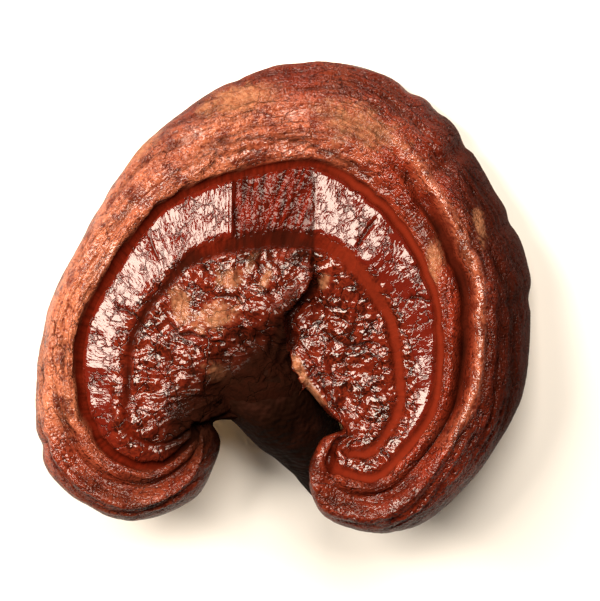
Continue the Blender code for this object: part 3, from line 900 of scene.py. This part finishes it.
# Fine relief, for the wrinkles too small to be in the mesh: inner crust, rim, band, then the panel
# and the polished patches. Channels and pores have a tenth of it
heights = []
for parts in (
    ((crinkle, 0.7), (crinkle_fine, 0.25), (crust_cracks, -1.1)),
    ((fibres, 0.9), (stipple, 1.0), (ring_cracks, -1.3)),
    ((cross, 0.21), (crackle, -0.8)),
):
    height_so_far = 0.0
    for pattern, depth in parts:
        height_so_far = add(crust, "Math", TIMES_PLUS, 0, pattern, 1, depth, 2, height_so_far)
    heights.append(height_so_far)
inner_height, rim_height, band_height = heights
panel_height = add(crust, "Math", TIMES_PLUS, 0, crinkle, 1, 0.6, 2, inner_height)
polished_height = add(crust, "Math", TIMES, 0, rim_height, 1, 0.3)
polished_height = add(crust, "Math", TIMES_PLUS, 0, crackle, 1, -0.8, 2, polished_height)
surface = inner_height
for height_there, where in (
    (rim_height, rim_share),
    (band_height, band_share),
    (panel_height, panel_share),
    (polished_height, polish_share),
):
    surface = add(crust, "Mix", NUMBERS, 0, where, 2, surface, 3, height_there)
smooth_share = add(crust, "Math", LARGER, 0, channel_share, 1, pore_share)
smoothness = add(crust, "Math", TIMES_PLUS, 0, smooth_share, 1, -0.9, 2, 1.0)
surface = add(crust, "Math", TIMES, 0, surface, 1, smoothness)
bumped = add(crust, "Bump", {}, "Strength", 1.0, "Distance", FINE_RELIEF, "Height", surface)

# The resin lies thickest on the band and on the polished patches. The panel, the dust and the flank
# have less of it, and the shaded root, the channels and the pores have none
lacquer = add(crust, "Mix", NUMBERS, 0, rim_share, 2, 0.87, 3, 0.48)
lacquer = add(crust, "Mix", NUMBERS, 0, band_share, 2, lacquer, 3, 0.9)
lacquer = add(crust, "Mix", NUMBERS, 0, polish_share, 2, lacquer, 3, 1.0)
dulled = 0.0
for where, strength in (
    (panel_share, 0.68),
    (shade_share, 1.0),
    (dusty, 0.75),
    (flank_shade_share, 0.8),
    (channel_share, 1.12),
    (pore_share, 1.0),
):
    dulled_there = add(crust, "Math", TIMES, 0, where, 1, strength)
    dulled = add(crust, "Math", LARGER, 0, dulled_there, 1, dulled)
left_glossy = add(crust, "Math", {"operation": "SUBTRACT", "use_clamp": True}, 0, 1.0, 1, dulled)
lacquer = add(crust, "Math", TIMES, 0, lacquer, 1, left_glossy)

# Under the lacquer the crust is satin, and duller on the rim and where it is near black
roughness = add(crust, "Mix", NUMBERS, 0, rim_share, 2, 0.42, 3, 0.5)
roughness = add(crust, "Mix", NUMBERS, 0, shade_share, 2, roughness, 3, 0.6)

shader = crust.node_tree.nodes["Principled BSDF"]
for socket, value in (
    ("Base Color", colour),
    ("Normal", bumped),
    ("Coat Normal", bumped),
    ("Roughness", roughness),
    ("Coat Weight", lacquer),
):
    crust.node_tree.links.new(value, shader.inputs[socket])
# The resin has the index of the crust under it, so only its own surface reflects
shader.inputs["Specular IOR Level"].default_value = 0.0
shader.inputs["Coat Roughness"].default_value = 0.1
shader.inputs["IOR"].default_value = 1.5
cap_mesh.materials.append(crust)


# ---------------------------------------------------------------------------------------------
# Stem
# Woody flesh under a dull crust, painted near black: partly its own dark colour and partly painted
# shade, as it lies in shadow under the cap. It grew out of the side of the cap in one piece with it.
# Its upper end is buried in the mound, and its foot is cut off flat where it was picked. It is a grid
# of points too, round the same middle line that the cap swells over.
# ---------------------------------------------------------------------------------------------

# How finely it is divided, and the share of its middle line left out inside the cap
STEM_COLUMNS = 128
STEM_ROWS = 220
STEM_START = 0.12

# The millimetres that one row counts as in its wrinkles, and the height of its bulges and wrinkles
STEM_ROW_STEP = 0.42
STEM_BULGE = 0.5
STEM_WRINKLE = 0.22

line = soft_line(STEM_LINE, STEM_ROWS)
line = line[int(STEM_START * STEM_ROWS):]
middle_line, radii = line[:, :3], line[:, 3]
ahead = np.gradient(middle_line, axis=0)
ahead /= np.linalg.norm(ahead, axis=1, keepdims=True)
sideways = np.cross(ahead, (0.0, 0.0, 1.0))
sideways /= np.linalg.norm(sideways, axis=1, keepdims=True)
upward = np.cross(sideways, ahead)
angle = np.linspace(0.0, 2.0 * math.pi, STEM_COLUMNS, endpoint=False)[:, None]
ring_x = np.cos(angle)[:, :, None] * sideways[None, :, :]
ring_y = np.sin(angle)[:, :, None] * upward[None, :, :]
direction = ring_x + ring_y
length_run = np.arange(len(line))[None, :] * STEM_ROW_STEP
side_x, side_y = direction[:, :, 0], direction[:, :, 1]
bulge = STEM_BULGE * noise_of(side_x * 1.4, side_y * 1.4, length_run / 14.0)
grooves = STEM_WRINKLE * noise_of(side_x * 7.0, side_y * 7.0, length_run / 12.0)
stem_points = middle_line[None, :, :] + direction * (radii[None, :] + bulge + grooves)[:, :, None]
stem_rest = leaned(stem_points) + REST_SHIFT

# Each column is cut where it meets the ground, and its rows are spread out again over what is left
for column in stem_rest:
    foot = int(np.argmax(column[:, 2] < 0.0))
    before, after = column[foot - 1, 2], column[foot, 2]
    kept = np.linspace(0.0, foot - 1 + before / (before - after), len(column))
    rows = np.arange(len(column))
    column[:] = np.stack([np.interp(kept, rows, column[:, k]) for k in range(3)], axis=-1)
stem_mesh = grid_mesh("stem_crust", stem_rest[::-1] * MM)
stem = bpy.data.objects.new("stem_crust", stem_mesh)
bpy.context.scene.collection.objects.link(stem)
stem_mesh.shade_smooth()

# Stem crust: the same resin gone dark with age and painted near black for the shade it lies in under
# the cap, with no gloss left, over lengthwise wrinkles
bark = bpy.data.materials.new("reishi_dark_stem_crust")
bark.use_nodes = True
bark_place = add(bark, "TexCoord", {}, out="Object")
bark_waves = []
for grain, detail in ((3.0, 1.0), (1.5, 0.5), (8.0, 4.0)):
    bark_waves.append(add(bark, "TexNoise", {}, "Vector", bark_place, "Scale", 1.0 / (grain * MM),
                          "Detail", detail))
bark_height = add(bark, "Math", TIMES_PLUS, 0, bark_waves[0], 1, 4.0, 2, bark_waves[1])
bark_bump = add(bark, "Bump", {}, "Strength", 1.0, "Distance", FINE_RELIEF, "Height", bark_height)
worn = add(bark, "MapRange", SOFT_STEP, 0, bark_waves[2], 1, 0.45, 2, 0.75)
bark_tone = add(bark, "Mix", COLOURS, 0, worn, 6, linear("#150804"), 7, linear("#24100A"), out=2)
bark_shader = bark.node_tree.nodes["Principled BSDF"]
bark.node_tree.links.new(bark_tone, bark_shader.inputs["Base Color"])
bark.node_tree.links.new(bark_bump, bark_shader.inputs["Normal"])
bark_shader.inputs["Roughness"].default_value = 0.6
bark_shader.inputs["Specular IOR Level"].default_value = 0.01
stem_mesh.materials.append(bark)
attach(stem, "root")
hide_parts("stem")


# ---------------------------------------------------------------------------------------------
# Ground, light and camera
# A plain pale table top, a large soft window light from the upper left with a smaller one above,
# and a long lens that looks straight onto the face of the cap.
# ---------------------------------------------------------------------------------------------

low_corner, high_corner = (Vector(corner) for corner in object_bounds())
centre = (low_corner + high_corner) / 2
bpy.ops.mesh.primitive_plane_add(size=4.0, location=(centre.x, centre.y, low_corner.z))
floor = bpy.context.object
floor.name = "table_top"
paper = bpy.data.materials.new("pale_matt_table")
paper.use_nodes = True
paper_shader = paper.node_tree.nodes["Principled BSDF"]
paper_shader.inputs["Base Color"].default_value = linear("#F2F1EF")
paper_shader.inputs["Roughness"].default_value = 0.9
floor.data.materials.append(paper)
floor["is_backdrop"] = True

FACE = Vector((0.0, -math.sin(CAP_LEAN), math.cos(CAP_LEAN)))
UP = Vector((0.0, math.cos(CAP_LEAN), math.sin(CAP_LEAN)))
RIGHT = Vector((1.0, 0.0, 0.0))
WINDOW_LIGHT = linear("#FFF1DF")[:3]
CAMERA_DISTANCE = 1.0067
AIMED_AT = (4.6, -0.9, -9.0)


def lamp(name, right, up, out, size, power):
    """A window light turned to the middle of the cap, with its place and size in metres."""
    light = bpy.data.lights.new(name, "AREA")
    light.shape = "RECTANGLE"
    light.size, light.size_y = size
    light.energy = power
    light.color = WINDOW_LIGHT
    holder = bpy.data.objects.new(name, light)
    holder.location = centre + RIGHT * right + UP * up + FACE * out
    holder.rotation_euler = (centre - holder.location).to_track_quat("-Z", "Y").to_euler()
    bpy.context.scene.collection.objects.link(holder)


# Each window's place right of, up from and out from the middle of the cap, its size, and its watts
lamp("window_left", -0.49, 0.20, 0.62, (0.36, 0.60), 17.3)
lamp("window_far", 0.08, 0.28, 0.80, (0.36, 0.36), 10.0)

world = bpy.data.worlds.new("studio")
bpy.context.scene.world = world
world.use_nodes = True
background = world.node_tree.nodes["Background"]
background.inputs["Color"].default_value = linear("#FFFFFF")
background.inputs["Strength"].default_value = 0.04
bpy.context.scene.view_settings.view_transform = "Standard"

camera_data = bpy.data.cameras.new("camera")
camera_data.lens = 200.0
camera = bpy.data.objects.new("camera", camera_data)
bpy.context.scene.collection.objects.link(camera)
aimed_at = Vector(leaned(AIMED_AT) * MM) + Vector(REST_SHIFT * MM)
camera.location = aimed_at + FACE * CAMERA_DISTANCE
camera.rotation_euler = (CAP_LEAN, 0.0, 0.0)
bpy.context.scene.camera = camera
